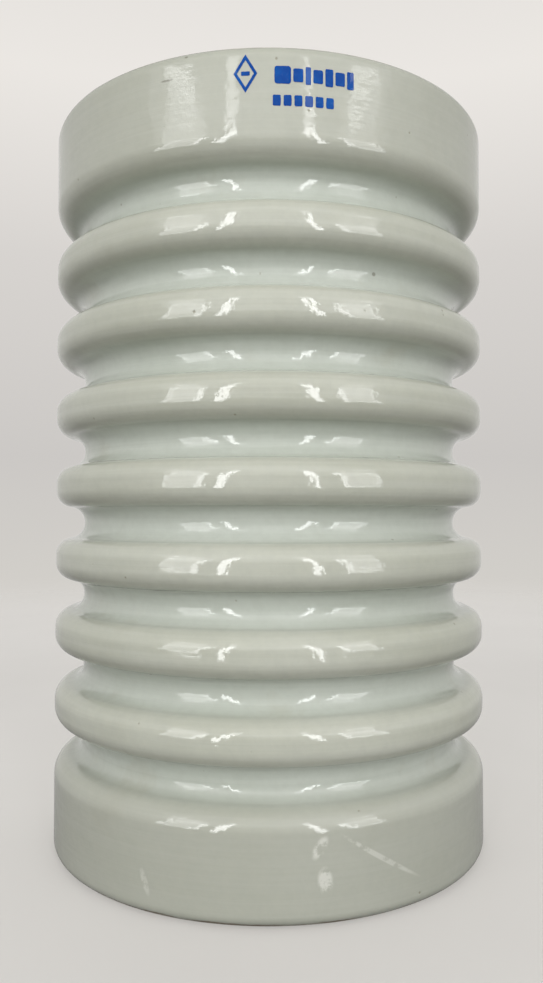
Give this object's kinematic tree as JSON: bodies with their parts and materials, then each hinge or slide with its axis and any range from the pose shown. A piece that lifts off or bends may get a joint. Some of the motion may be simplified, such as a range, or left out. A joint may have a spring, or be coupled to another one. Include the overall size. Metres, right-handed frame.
{
  "type": "porcelain post insulator",
  "caption": "Solid ribbed porcelain post with plain cylindrical end collars and threaded metal inserts cemented into each flat end, used to stand live conductors off a frame.",
  "frame": {"origin": "centre of the base, in the plane of the bottom insert faces", "axes": "+Z along the post's axis towards the marked end; +X and +Y lie midway between neighbouring inserts; -Y faces the viewer of the mark"},
  "size_m": [0.117, 0.117, 0.1905],
  "materials": {
    "glaze": "gloss",
    "zinc_steel": "satin",
    "grout": "matte",
    "cork": "matte"
  },
  "bodies": {
    "root": {"porcelain_body": "glaze", "top_insert_1": "zinc_steel", "top_insert_2": "zinc_steel", "top_insert_3": "zinc_steel", "top_insert_4": "zinc_steel", "top_cement_1": "grout", "top_cement_2": "grout", "top_cement_3": "grout", "top_cement_4": "grout", "top_cushion_disc_1": "cork", "top_cushion_disc_2": "cork", "top_cushion_disc_3": "cork", "top_cushion_disc_4": "cork", "bottom_insert_1": "zinc_steel", "bottom_insert_2": "zinc_steel", "bottom_insert_3": "zinc_steel", "bottom_insert_4": "zinc_steel", "bottom_cement_1": "grout", "bottom_cement_2": "grout", "bottom_cement_3": "grout", "bottom_cement_4": "grout", "bottom_cushion_disc_1": "cork", "bottom_cushion_disc_2": "cork", "bottom_cushion_disc_3": "cork", "bottom_cushion_disc_4": "cork"}
  },
  "joints": []
}
